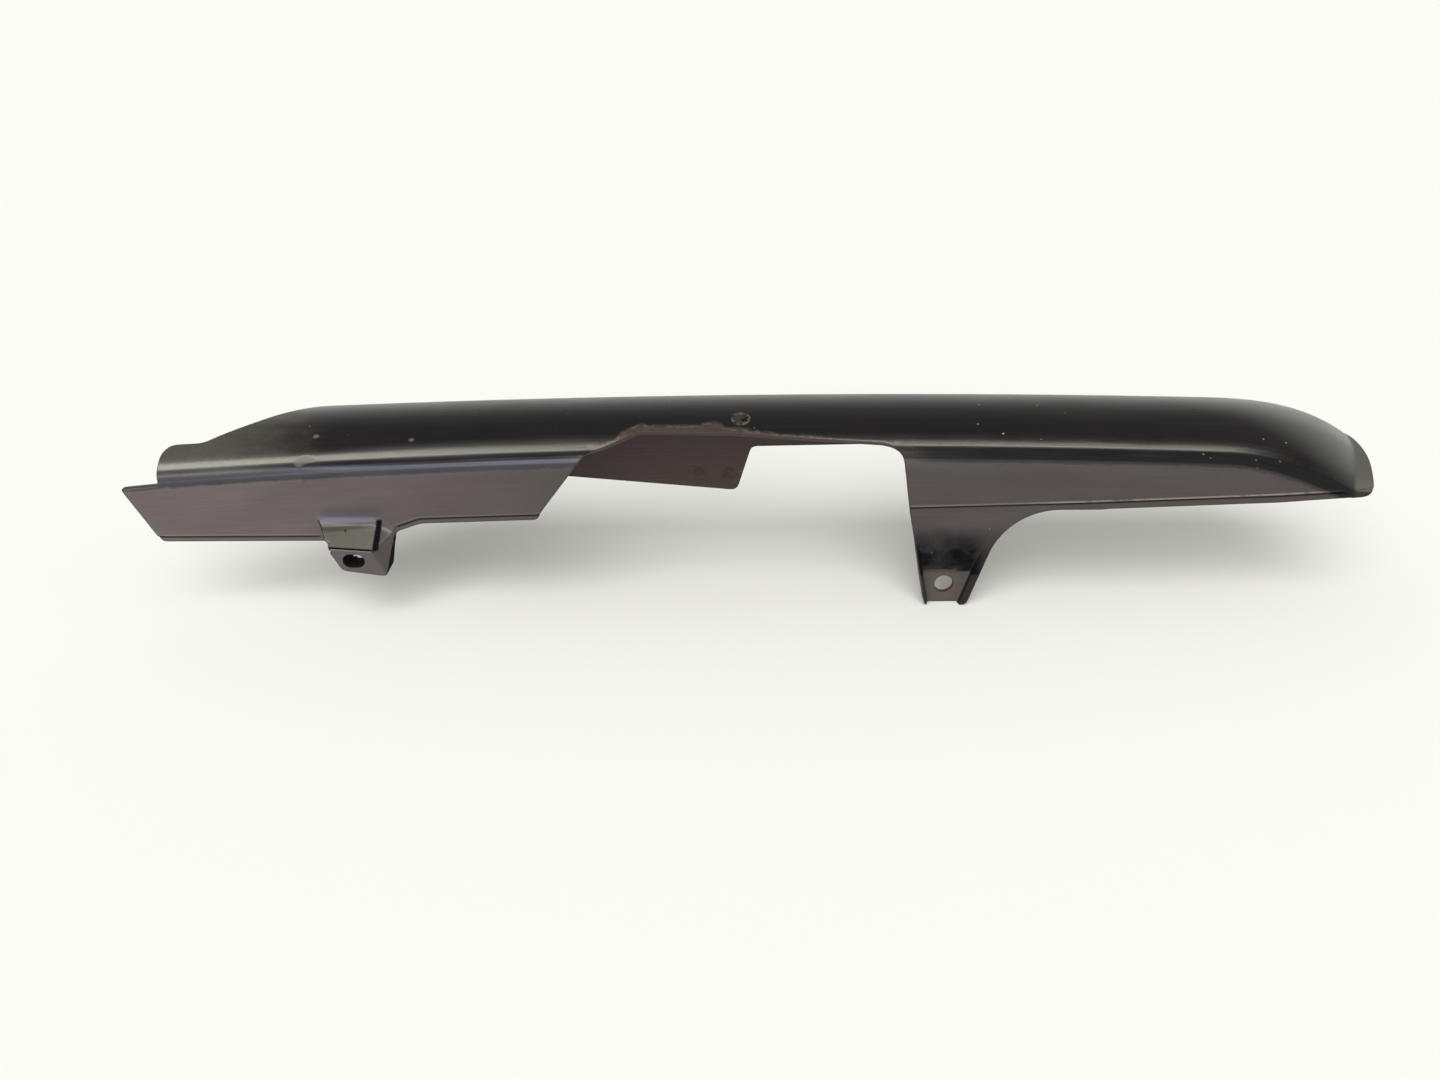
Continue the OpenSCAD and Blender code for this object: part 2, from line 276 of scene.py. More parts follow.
# Behind the roof an inner wall comes down, with a lobe that shows through the skirt's opening. The
# roof's front is cut to a slant, and its rear end is rounded like a duck's bill.
wall_cut = side_loop([(PAST_FRONT, -14, 0), (-PITCH - 20, -27.4, 30), (-88, -45.5, 3), (-81.4, -23, 2.5),
                      (PAST_REAR, -19.5, 0), (PAST_REAR, BELOW, 0), (PAST_FRONT, BELOW, 0)], far=True)
nose_cut = plan_loop([(PAST_FRONT, 3.5, 0), (ROOF_FRONT, 3.5, 0), (ROOF_FRONT, 10.8, 6),
                      (ROOF_FRONT + 17, 10.8, 10), (ROOF_FRONT + 34, 19.2, 60), (ROOF_FRONT + 95, 71, 0),
                      (PAST_FRONT, 71, 0)])
lip_cut = plan_loop([(LIP_REAR - 9, -6, 0), (LIP_REAR - 2, 7, 10), (LIP_REAR, 64, 27), (LIP_REAR - 40, 64, 0),
                     (LIP_REAR - 40, 72, 0), (PAST_REAR, 72, 0), (PAST_REAR, -6, 0)])
S_END = float(across_from_z([(-88, -45.5 - 3)], far=True)[0, 1])
SHEET_LOW = -44
sheet = stepped([(PAST_FRONT + 2, SHEET_LOW), (PAST_REAR - 2, SHEET_LOW),
                 (PAST_REAR - 2, S_END), (PAST_FRONT + 2, S_END)], 4)

# Two screws hold the guard: the rear tab hangs from the skirt and tapers down to its round hole, and
# a hollow box on the skirt's front, with leaning sides and a smaller pad on top, has a level slot.
tab_add = side_loop([(TAB_FRONT + 1, TAB_TOP, 0), (TAB_FRONT, -REAR_DEPTH, 0),
                     (TAB_RIGHT - TAB_W, TAB_BOTTOM, 1), (TAB_RIGHT, TAB_BOTTOM, 2),
                     (TAB_HOLLOW_X, -REAR_DEPTH, 28), (TAB_HOLLOW_X + 40, -REAR_DEPTH, 0),
                     (TAB_HOLLOW_X + 40, TAB_TOP, 0)])
BOX_BASE = [(-14.6, 15.1), (9, 13.6), (16, 9.9), (15.9, 6.9), (14.7, 1.8), (12.7, -7.5), (-5.4, -4.6)]
BOX_PAD = [(-10.2, 5.4), (7.7, 4.0), (12.7, -7.2), (-5, -5), (-6.8, -3.9)]


def at_slot(outline):
    return [(x - PITCH, z + SLOT_Z) for x, z in outline]


bracket_add = side_loop([(x, z, 1.0) for x, z in at_slot(BOX_BASE)], 0.6)
HOLE_R, SLOT_R, SLOT_REACH = 4, 2.8, 1.5
hole_cut = side_loop([(HOLE_R * math.cos(a), HOLE_R * math.sin(a) - CREASE_H, 0)
                      for a in np.linspace(0, 2 * math.pi, 64, endpoint=False)], 9)
slot_cut = side_loop([(side * SLOT_REACH + SLOT_R * math.cos(a) - PITCH, SLOT_R * math.sin(a) + SLOT_Z, 0)
                      for side, first in ((1, -90), (-1, 90))
                      for a in np.radians(np.linspace(first, first + 180, 24))], 0.5)

CUTS = [skirt_cut, ear_cut, notch_cut, wall_cut, nose_cut, lip_cut]
ADDS = [tab_add, bracket_add]
HOLES = [hole_cut, slot_cut]


def kept(points):
    """Which points of the flat plane belong to the blank."""
    keep = inside(points, sheet)
    for loop in CUTS:
        keep &= ~inside(points, loop)
    for loop in ADDS:
        keep |= inside(points, loop)
    for loop in HOLES:
        keep &= ~inside(points, loop)
    return keep


def triangulated(points, edges):
    """Delaunay triangles of points that keep the edges: new points and triangles."""
    made = delaunay_2d_cdt([Vector(p) for p in points], [tuple(e) for e in edges], [], 0, 1e-5)
    return np.array([(v.x, v.y) for v in made[0]]), np.array(made[2])


def ring_edges(start, count):
    return [(start + i, start + (i + 1) % count) for i in range(count)]


points, edges = [], []
for loop in [sheet] + CUTS + ADDS + HOLES:
    edges += ring_edges(len(points), len(loop))
    points += [tuple(p) for p in loop]
points, triangles = triangulated(points, edges)
triangles = triangles[kept(points[triangles].mean(1))]

# The edges used by one triangle only are the outline; they are joined into loops.
after = {}
pairs = set()
for t in triangles:
    for a, b in ((t[0], t[1]), (t[1], t[2]), (t[2], t[0])):
        pairs.add((int(a), int(b)))
for a, b in pairs:
    if (b, a) not in pairs:
        after[a] = b
outline = []
while after:
    start = at = next(iter(after))
    loop = []
    while at in after:
        loop.append(at)
        at = after.pop(at)
    outline.append(points[loop])


# The moulding's rims are rounded a little, and its sharpest corners eased, as those of a mould are.
RIM_R = 0.4
RIM_STEP = 0.9


def evened(loop, step):
    """The closed line again, at even steps and lightly eased."""
    span = np.linalg.norm(np.roll(loop, -1, 0) - loop, axis=1)
    walked = np.concatenate([[0], np.cumsum(span)])
    n = max(24, int(walked[-1] / step))
    at = np.linspace(0, walked[-1], n, endpoint=False)
    closed = np.vstack([loop, loop[:1]])
    loop = np.stack([np.interp(at, walked, closed[:, k]) for k in (0, 1)], -1)
    for _ in range(2):
        loop = loop * 0.5 + (np.roll(loop, 1, 0) + np.roll(loop, -1, 0)) * 0.25
    return loop


def inward(loop):
    """Directions that point into the blank from its outline."""
    along = np.roll(loop, -1, 0) - np.roll(loop, 1, 0)
    along /= np.linalg.norm(along, axis=1)[:, None]
    return np.stack([-along[:, 1], along[:, 0]], -1)


outline = [evened(loop, RIM_STEP if len(loop) > 200 else RIM_STEP / 2) for loop in outline]
rings = [loop + inward(loop) * RIM_R for loop in outline]


def upright(s, x):
    """Height of a place on the skirt over the crease."""
    return FLAT_TOP + s + bow(x, 0 * x) - drop(x, 0 * x)


def step_in(depth, width=0.5):
    return smooth(depth / width + 0.5)


def soft_max(a, b, k):
    return np.logaddexp(a / k, b / k) * k


# The hem is a step along the skirt's lower edge. The tab is a tray: its floor ramps back behind the
# skirt's face to a flat pad round the hole, between two ribs along the tab's sides.
front_hem = side_loop([(PAST_FRONT, BELOW, 0)] + front_edge(HEM_H)
                      + [(CUT_FRONT + 1, -MIDDLE_DEPTH + 4.2, 0), (CUT_FRONT + 3, BELOW, 0)])
rear_hem = side_loop([(TAB_FRONT - 4, BELOW, 0), (TAB_FRONT - 4, REAR_HEM[0][1], 0)] + REAR_HEM
                     + [(PAST_REAR, TAB_TOP + REAR_RISE, 0), (PAST_REAR, BELOW, 0)])
RIB_W, REAR_RIB_W, RAMP_TOP, PAD_TOP = 1.6, 3.4, -41.0, 5.7 - CREASE_H
tray = side_loop([(TAB_FRONT + RIB_W + (-REAR_DEPTH - RAMP_TOP) * TAB_LEFT_LEAN, RAMP_TOP, 0.8),
                  (TAB_FRONT + RIB_W + (-REAR_DEPTH - BELOW) * TAB_LEFT_LEAN, BELOW, 0),
                  (TAB_RIGHT - REAR_RIB_W - (TAB_BOTTOM - BELOW) * TAB_RIGHT_LEAN, BELOW, 0),
                  (TAB_RIGHT - REAR_RIB_W + (RAMP_TOP - TAB_BOTTOM) * TAB_RIGHT_LEAN, RAMP_TOP, 0.8)])


def tray_ramp(z):
    """How far the tray's floor lies behind the skirt's face at a height, with eased bends."""
    return sum(PAD_Y * np.clip((RAMP_TOP - z - e) / (RAMP_TOP - PAD_TOP), 0, 1)
               for e in (-0.9, -0.3, 0.3, 0.9)) / 4


def box_height(p, base, pad, rise, k):
    """Height of the bracket's box: it leans in on each side from its base to its pad."""
    base, pad = np.array(base), np.array(pad)
    heights = []
    for ring in (base, pad):
        for a, b in zip(ring, np.roll(ring, -1, 0)):
            n = np.array([b[1] - a[1], a[0] - b[0]])
            n = n / np.linalg.norm(n)
            if n @ (a - ring.mean(0)) < 0:
                n = -n
            reach = (base @ n).max()
            lean = max(reach - (pad @ n).max(), 0.04 * rise)
            heights.append(rise * (reach - p @ n) / lean)
    heights.append(np.full(len(p), rise))
    low = -np.array(heights) / k
    top = low.max(0)
    return -k * (top + np.log(np.exp(low - top).sum(0)))


def drawn_in(ring, by):
    return [tuple(np.array(p) * (1 - by * 1.3 / np.linalg.norm(p))) for p in ring]


# The front box stands 8 mm out of the skirt. On the roof, the gate where the plastic was let into the
# mould has left a thin ring with a pit in it.
BRACKET_OUT = 8.0
GATE_RING_R, GATE_RING_H, GATE_PIP_H = 3.3, 0.12, 0.1
GATE = np.array([-87.3, across_from_y([(0, 13.8)])[0, 1]])


def outer_height(p):
    """Height of the outer face over the plain bent sheet."""
    x, s = p[:, 0], p[:, 1]
    z = upright(s, x)
    h = -HEM_STEP * np.maximum(step_in(depth_in(p, front_hem)), step_in(depth_in(p, rear_hem)))
    floor = -np.maximum(HEM_STEP, tray_ramp(z))
    h = h + (floor - h) * step_in(depth_in(p, tray), 0.6)
    near = (np.abs(x + PITCH) < 24) & (np.abs(z - SLOT_Z) < 22)
    if near.any():
        at = np.stack([x[near] + PITCH, z[near] - SLOT_Z], -1)
        h[near] = soft_max(h[near], box_height(at, BOX_BASE, BOX_PAD, BRACKET_OUT, 0.13), 0.5)
    ring = np.hypot(*(p - GATE).T)
    return (h + GATE_RING_H * np.exp(-((ring - GATE_RING_R) / 0.35) ** 2)
            + GATE_PIP_H * np.exp(-(ring / 0.7) ** 2))


def inner_height(p):
    """Height of the inner face over the plain bent sheet's outer face."""
    x, s = p[:, 0], p[:, 1]
    z = upright(s, x)
    tab = (x > TAB_FRONT - 1) & (x < TAB_HOLLOW_X + 40) & (s < 0)
    h = np.full(len(p), -WALL) - tray_ramp(z) * tab
    near = (np.abs(x + PITCH) < 24) & (np.abs(z - SLOT_Z) < 22)
    if near.any():
        at = np.stack([x[near] + PITCH, z[near] - SLOT_Z], -1)
        room = box_height(at, drawn_in(BOX_BASE, WALL), drawn_in(BOX_PAD, WALL), BRACKET_OUT - WALL, 0.3)
        h[near] = soft_max(h[near], room, 0.3)
    return h


def guides(line, offsets, closed):
    """Lines beside a feature line, for the triangles to follow."""
    made = []
    along = np.roll(line, -1, 0) - np.roll(line, 1, 0) if closed else np.gradient(line, axis=0)
    along /= np.linalg.norm(along, axis=1)[:, None]
    side = np.stack([-along[:, 1], along[:, 0]], -1)
    for offset in offsets:
        made.append((line + side * offset, closed))
    return made


def circle(centre, radius, step):
    a = np.linspace(0, 2 * math.pi, max(8, int(2 * math.pi * radius / step)), endpoint=False)
    return np.stack([centre[0] + radius * np.cos(a), centre[1] + radius * np.sin(a)], -1)


def grid(xs, ss):
    return np.stack(np.meshgrid(xs, ss, indexing="ij"), -1).reshape(-1, 2)


CREASE_S = CREASE_R * math.radians(CREASE_TURN)
ARCH_S = CREASE_S + ARCH_R * math.radians(90 + ARCH_FALL - CREASE_TURN)
SHOULDER_S = ARCH_S + SHOULDER_R * math.radians(90 - ARCH_FALL - WALL_LEAN)


def sheet_points(coarse):
    """Places over the blank, closer together where the section bends more and where it closes."""
    rows = np.concatenate([np.arange(-72, 0, 2.5 * coarse), np.linspace(0, CREASE_S, int(12 / coarse)),
                           np.linspace(CREASE_S, ARCH_S, int(30 / coarse))[1:],
                           np.linspace(ARCH_S, SHOULDER_S, int(12 / coarse))[1:],
                           np.arange(SHOULDER_S, S_END, 2.5 * coarse)[1:]])
    columns = np.concatenate([np.arange(EAR_FRONT, 100, 3.0 * coarse),
                              np.arange(100, LIP_REAR, 1.5 * coarse)])
    return grid(columns, rows)


def face_of_blank(lines, fine, coarse, height):
    """One face of the blank: its places with heights, triangles, and the places of each rim ring."""
    made = [sheet_points(coarse)]
    for (x0, x1), (z0, z1), step in fine:
        spots = grid(np.arange(x0, x1, step), np.arange(z0, z1, step) - FLAT_TOP - BOW_TOP)
        made[0] = made[0][~((made[0][:, 0] > x0) & (made[0][:, 0] < x1)
                            & (made[0][:, 1] > spots[:, 1].min()) & (made[0][:, 1] < spots[:, 1].max()))]
        made.append(spots)
    spots = np.vstack(made + [loop + inward(loop) * 1.3 for loop in outline])
    clear = distance_to_outline(spots)
    spots = spots[clear > RIM_R + 0.55]
    points, edges = [], []
    for ring in rings:
        edges += ring_edges(len(points), len(ring))
        points += list(ring)
    for line, closed in lines:
        good = distance_to_outline(line) > RIM_R + 0.3
        first = len(points)
        points += list(line)
        n = len(line)
        edges += [(first + i, first + (i + 1) % n) for i in range(n if closed else n - 1)
                  if good[i] and good[(i + 1) % n]]
        spots = spots[distance(spots, line, closed) >= 0.3]
    points = np.array(points + list(spots))
    used = np.ones(len(points), bool)
    first = sum(len(r) for r in rings)
    last = first + sum(len(line) for line, _ in lines)
    used[first:last] = distance_to_outline(points[first:last]) > RIM_R + 0.3
    renumber = np.cumsum(used) - 1
    edges = [(int(renumber[a]), int(renumber[b])) for a, b in edges if used[a] and used[b]]
    made = delaunay_2d_cdt([Vector(p) for p in points[used]], edges, [], 0, 1e-6)
    flat = np.array([(v.x, v.y) for v in made[0]])
    triangles = np.array(made[2])
    where = {}
    for i, originals in enumerate(made[3]):
        for o in originals:
            where[o] = i
    loops, start = [], 0
    for ring in rings:
        loops.append(np.array([where[start + i] for i in range(len(ring))]))
        start += len(ring)
    middle = flat[triangles].mean(1)
    keep = inside(middle, rings[0])
    for ring in rings[1:]:
        keep &= ~inside(middle, ring)
    return flat, height(flat), triangles[keep], loops


def distance_to_outline(p):
    """Distance into the blank from its nearest edge, negative outside."""
    d = distance(p, outline[0])
    d = np.where(inside(p, outline[0]), d, -d)
    for loop in outline[1:]:
        hole = distance(p, loop)
        d = np.minimum(d, np.where(inside(p, loop), -hole, hole))
    return d


hem_lines = []
for corners in (front_edge(HEM_H), REAR_HEM):
    (first_x, first_z, _), (last_x, last_z, _) = corners[0], corners[-1]
    line = rounded([(first_x - 9, first_z, 0)] + corners + [(last_x + 9, last_z, 0)])
    line = across_from_z(stepped(line, 1.6, closed=False)[1:-1])
    hem_lines += guides(line, (-0.5, -0.25, 0, 0.25, 0.5), False)
tray_lines = guides(stepped(tray, 1.2), (-0.35, -0.18, 0, 0.18, 0.35), True)
gate_lines = [(circle(GATE, r, 0.45), True) for r in (0.5, 1.0, 2.4, 2.8, 3.05, 3.3, 3.55, 3.8, 4.3)]

# The edges of the front box are those of the hull round its base and its pad. The lines beside them
# keep the edges crisp where the triangles follow.
hull = bmesh.new()
for ring, rise in ((BOX_BASE, 0.0), (BOX_PAD, BRACKET_OUT)):
    for px, pz in ring:
        hull.verts.new((px, pz, rise))
bmesh.ops.convex_hull(hull, input=hull.verts)
bracket_lines = []
for edge in hull.edges:
    if len(edge.link_faces) == 2 and edge.calc_face_angle(0) > 0.12 and max(v.co.z for v in edge.verts) > 1:
        (ax, az), (bx, bz) = (edge.verts[k].co.xy for k in (0, 1))
        line = across_from_z(stepped(at_slot([(ax, az), (bx, bz)]), 0.8, closed=False))
        bracket_lines += guides(line, (-0.3, -0.1, 0.1, 0.3), False)
hull.free()
box_zone = (-PITCH - 17, -PITCH + 20), (SLOT_Z - 9, SLOT_Z + 18)
tab_heights = (TAB_BOTTOM - 1, TAB_TOP + 1)
outer = face_of_blank(
    hem_lines + tray_lines + gate_lines + bracket_lines,
    [(*box_zone, 0.4), ((CUT_REAR + 2, TAB_RIGHT + 6), tab_heights, 0.8)], 1.0, outer_height)
inner = face_of_blank(
    [], [(*box_zone, 0.8), ((CUT_REAR + 2, TAB_RIGHT + 9), tab_heights, 1.6)], 1.6, inner_height)

# The wall's outer face, its inner face and the rounded rim between them make one closed skin.
RIM_BENDS, RIM_WALL_STEPS = 4, 3
flat_points = [np.column_stack([outer[0], outer[1]]), np.column_stack([inner[0], inner[1]])]
faces = [tuple(int(i) for i in t) for t in outer[2]]
second = len(outer[0])
faces += [tuple(int(i) + second for i in t[::-1]) for t in inner[2]]
total = second + len(inner[0])
for loop, out_ids, in_ids in zip(outline, outer[3], inner[3]):
    n = len(loop)
    side = inward(loop)
    top, bottom = outer[1][out_ids], inner[1][in_ids]
    levels = []
    for k in range(1, RIM_BENDS + 1):
        a = math.pi / 2 * k / RIM_BENDS
        levels.append((RIM_R * (1 - math.sin(a)), top - RIM_R * (1 - math.cos(a))))
    for k in range(1, RIM_WALL_STEPS):
        levels.append((0.0, (top - RIM_R) + (bottom - top + 2 * RIM_R) * k / RIM_WALL_STEPS))
    for k in range(RIM_BENDS):
        a = math.pi / 2 * k / RIM_BENDS
        levels.append((RIM_R * (1 - math.cos(a)), bottom + RIM_R * (1 - math.sin(a))))
    previous = out_ids
    for inset, height in levels:
        flat_points.append(np.column_stack([loop + side * inset, height]))
        ids = np.arange(total, total + n)
        total += n
        faces += [(int(previous[i]), int(ids[i]), int(ids[(i + 1) % n]), int(previous[(i + 1) % n]))
                  for i in range(n)]
        previous = ids
    ids = in_ids + second
    faces += [(int(previous[i]), int(ids[i]), int(ids[(i + 1) % n]), int(previous[(i + 1) % n]))
              for i in range(n)]
flat_points = np.vstack(flat_points)
used = np.unique(np.concatenate([np.array(f) for f in faces]))
renumber = np.full(len(flat_points), -1)
renumber[used] = np.arange(len(used))
blank = bpy.data.meshes.new("chain_guard_blank")
blank.from_pydata((flat_points[used] * MM).tolist(), [], [[int(renumber[i]) for i in f] for f in faces])
blank.validate()

# What the plastic's finish follows is kept on the mesh: the place on the flat blank, which face of
# the wall a point lies on, and its distance over the hem's step in millimetres.
place = blank.uv_layers.new(name="flat_blank")
corners = np.array([loop.vertex_index for loop in blank.loops])
place.data.foreach_set("uv", (flat_points[used][corners, :2] * MM).ravel())
on_outer = np.zeros(len(flat_points))
on_outer[:second] = 1
FAR_FROM_HEM = 9.0
over_hem = np.full(len(flat_points), FAR_FROM_HEM)
skirt_side = flat_points[:, 1] < 2
over_hem[skirt_side] = -np.maximum(depth_in(flat_points[skirt_side, :2], front_hem),
                                   depth_in(flat_points[skirt_side, :2], rear_hem))
for name, values in (("outer_face", on_outer), ("over_hem", over_hem)):
    layer = blank.attributes.new(name, "FLOAT", "POINT")
    layer.data.foreach_set("value", values[used])


class Flow:
    """A socket in a node tree. An expression on it adds the Math nodes that work it out."""

    def __init__(self, tree, socket=None):
        self.tree, self.socket = tree, socket

    def node(self, kind, settings=None, give=0, **values):
        """Adds a node: its settings first, then values or links for its sockets by name or number."""
        made = self.tree.nodes.new(kind)
        for name, value in (settings or {}).items():
            if name == "stops":
                ramp_of = made.color_ramp
                for k, (at, colour) in enumerate(value):
                    stop = ramp_of.elements[k] if k < 2 else ramp_of.elements.new(at)
                    stop.position, stop.color = at, colour
            else:
                setattr(made, name, value)
        for name, value in values.items():
            key = int(name[1:]) if name[0] == "i" and name[1:].isdigit() else name.replace("_", " ")
            if isinstance(value, Flow):
                self.tree.links.new(value.socket, made.inputs[key])
            else:
                made.inputs[key].default_value = value
        return Flow(self.tree, made.outputs[give])

    def math(self, operation, *others):
        values = {f"i{k}": v for k, v in enumerate((self, *others))}
        return self.node("ShaderNodeMath", {"operation": operation}, **values)

    def other(self, operation, value):
        return self.node("ShaderNodeMath", {"operation": operation}, i0=value, i1=self)

    def __add__(self, v): return self.math("ADD", v)
    def __radd__(self, v): return self.math("ADD", v)
    def __sub__(self, v): return self.math("SUBTRACT", v)
    def __rsub__(self, v): return self.other("SUBTRACT", v)
    def __mul__(self, v): return self.math("MULTIPLY", v)
    def __rmul__(self, v): return self.math("MULTIPLY", v)
    def __truediv__(self, v): return self.math("DIVIDE", v)
    def __rtruediv__(self, v): return self.other("DIVIDE", v)
    def __pow__(self, v): return self.math("POWER", v)
    def __neg__(self): return self * -1.0
    def least(self, v): return self.math("MINIMUM", v)
    def most(self, v): return self.math("MAXIMUM", v)
    def clamp(self, low=0.0, high=1.0): return self.most(low).least(high)
    def sin(self): return self.math("SINE")
    def cos(self): return self.math("COSINE")

    def smooth(self):
        t = self.clamp()
        return t * t * (3.0 - 2.0 * t)


# The mould's section bends the blank: skirt, tight crease, arched roof, shoulder and inner wall. Toward
# the rear end the crease comes down first and the roof later, which closes the channel to a duck's bill.
forming = bpy.data.node_groups.new("form_of_chain_guard", "GeometryNodeTree")
FORM_SIZES = {
    "Crease radius": CREASE_R * MM, "Crease turn": math.radians(CREASE_TURN),
    "Arch radius": ARCH_R * MM, "Arch fall": math.radians(ARCH_FALL),
    "Shoulder radius": SHOULDER_R * MM, "Wall lean": math.radians(WALL_LEAN),
    "Bow radius": BOW_R * MM, "Bow middle": BOW_X * MM, "Bow top": BOW_TOP * MM,
    "Roof bow radius": ROOF_BOW_R * MM, "Roof sink": ROOF_SINK * MM,
    "Bill end": BILL_END * MM, "Bill length": BILL_L * MM, "Roof bill length": ROOF_BILL_L * MM,
    "Crease drop": CREASE_DROP * MM, "Roof drop": ROOF_DROP * MM,
    "Lip skew": LIP_SKEW, "Lip fall": LIP_FALL, "Blend width": BLEND_Y * MM,
    "Crease height": CREASE_H * MM, "Pad depth": PAD_Y * MM}
forming.interface.new_socket("Geometry", in_out="INPUT", socket_type="NodeSocketGeometry")
form_inputs = {**dict.fromkeys(FORM_SIZES, "NodeSocketFloat"), "Plastic": "NodeSocketMaterial"}
form_sockets = {name: forming.interface.new_socket(name, in_out="INPUT", socket_type=kind).identifier
                for name, kind in form_inputs.items()}
forming.interface.new_socket("Geometry", in_out="OUTPUT", socket_type="NodeSocketGeometry")
given = forming.nodes.new("NodeGroupInput")
size = {name: Flow(forming, given.outputs[name]) for name in FORM_SIZES}
flow = Flow(forming)
apart = flow.node("ShaderNodeSeparateXYZ", Vector=flow.node("GeometryNodeInputPosition"))
x, s, h = (Flow(forming, apart.socket.node.outputs[k]) for k in range(3))
quarter = math.pi / 2
y = x * 0.0
z = s.least(0.0) - size["Crease radius"] * size["Crease turn"].sin()
turn, start = x * 0.0, x * 0.0
arch_out = size["Arch fall"] + quarter
wall_turn = math.pi - size["Wall lean"]
for radius, low, high in ((size["Crease radius"], x * 0.0, size["Crease turn"]),
                          (size["Arch radius"], size["Crease turn"], arch_out),
                          (size["Shoulder radius"], arch_out, wall_turn)):
    length = radius * (high - low)
    here = low + (s - start).most(0.0).least(length) / radius
    y = y + radius * (low.cos() - here.cos())
    z = z + radius * (here.sin() - low.sin())
    turn = turn + here - low
    start = start + length
rest = (s - start).most(0.0)
y = y + rest * wall_turn.sin()
z = z + rest * wall_turn.cos()
u = x - size["Lip skew"] * y
closing = ((u - size["Bill end"] + size["Bill length"]) / size["Bill length"]).clamp()
roof_closing = ((u - size["Bill end"] + size["Roof bill length"]) / size["Roof bill length"]).clamp()
crease_drop = size["Crease drop"] * (1.0 - (closing * quarter).cos())
roof_drop = size["Roof drop"] * roof_closing ** 3.0 + (u - size["Bill end"]).most(0.0) * size["Lip fall"]
share = (y / size["Blend width"]).smooth()
from_top = x - size["Bow middle"]
curving = (1.0 - share) / size["Bow radius"] + share / size["Roof bow radius"]
lift = size["Bow top"] - size["Roof sink"] * share - from_top * from_top / 2.0 * curving - (
    crease_drop * (1.0 - share) + roof_drop * share)
bent = flow.node("ShaderNodeCombineXYZ", X=x, Y=y - turn.cos() * h - size["Pad depth"],
                 Z=z + turn.sin() * h + lift + size["Crease height"])
flat, plastic_given = (Flow(forming, given.outputs[name]) for name in ("Geometry", "Plastic"))
shaped = flow.node("GeometryNodeSetPosition", Geometry=flat, Position=bent)
shaped = flow.node("GeometryNodeRealizeInstances", Geometry=shaped)
shaped = flow.node("GeometryNodeSetMaterial", Geometry=shaped, Material=plastic_given)
forming.links.new(shaped.socket, forming.nodes.new("NodeGroupOutput").inputs[0])

# Satin black plastic, hazed and dusty, with painted light: the skirt is painted lighter, most toward the front,
# and painted sheens, highlights and shade lie on the roof, the crease, the hem and the front box. Fine
# scratches run along the guard, tan dust has caught at the opening's edge and round the gate mark, the hem's
# edge is rubbed light, and the inner side is brown with chain dirt.
plastic = bpy.data.materials.new("black_plastic")
plastic.use_nodes = True
shader = plastic.node_tree.nodes["Principled BSDF"]
paint = Flow(plastic.node_tree)


def parts_of(vector):
    """The three numbers of a vector, each as a Flow."""
    apart = paint.node("ShaderNodeSeparateXYZ", Vector=vector)
    return [Flow(paint.tree, apart.socket.node.outputs[k]) for k in range(3)]


def blended(first, second, share):
    """A colour between two others."""
    return paint.node("ShaderNodeMix", {"data_type": "RGBA"}, give=2, i0=share, i6=first, i7=second)


def noise(along_scale, across_scale, detail=3.0, rough=0.55, shift=0.0):
    """Noise over the flat blank, with its scales per millimetre along and across the guard."""
    at = paint.node("ShaderNodeCombineXYZ", X=along * along_scale, Y=across * across_scale, Z=shift)
    return paint.node("ShaderNodeTexNoise", Vector=at, Scale=1.0, Detail=detail, Roughness=rough)


def between(value, low, high, soft):
    """1 between low and high, with a soft change at both ends."""
    return ((value - low) / soft + 0.5).smooth() * ((high - value) / soft + 0.5).smooth()


def above(value, limit, soft):
    return ((value - limit) / soft + 0.5).smooth()


def spot(x, s, radius, long=1.0):
    """1 in a small patch at a place on the flat blank."""
    off_x, off_s = (along - x) / long, across - s
    return above(1.0 - (off_x * off_x + off_s * off_s) / (radius * radius), 0.4, 0.9)


def stops(points, low, high):
    """Ramp stops for a line of (place, value) points, with values from 0 to 1."""
    return [((x - low) / (high - low), (v, v, v, 1)) for x, v in points]


along, across, _ = parts_of(paint.node("ShaderNodeUVMap", {"uv_map": "flat_blank"}))
along, across = along / MM, across / MM
px, py, pz = (v / MM for v in parts_of(paint.node("ShaderNodeTexCoord", give=3)))
outer_face = paint.node("ShaderNodeAttribute", {"attribute_name": "outer_face"}, give=2)
hem = paint.node("ShaderNodeAttribute", {"attribute_name": "over_hem"}, give=2)

streaks = noise(0.045, 2.4, 4.0, 0.6)
long_streaks = noise(0.012, 0.7, 4.0, 0.6, 3.0)
clouds = noise(0.03, 0.06, 3.0, 0.5, 7.0)
patches = noise(0.12, 0.2, 5.0, 0.6, 11.0)
grain = noise(2.6, 2.6, 2.0, 0.5, 17.0)
specked = noise(0.45, 0.6, 4.0, 0.65, 19.0)
cells = paint.node("ShaderNodeTexVoronoi", {"voronoi_dimensions": "2D"}, Scale=0.16,
                   Vector=paint.node("ShaderNodeCombineXYZ", X=along, Y=across))
speck_size = noise(0.35, 0.35, 1.0, 0.5, 23.0)
fine_specks = above((speck_size - 0.66) * 0.5, cells, 0.02) * outer_face

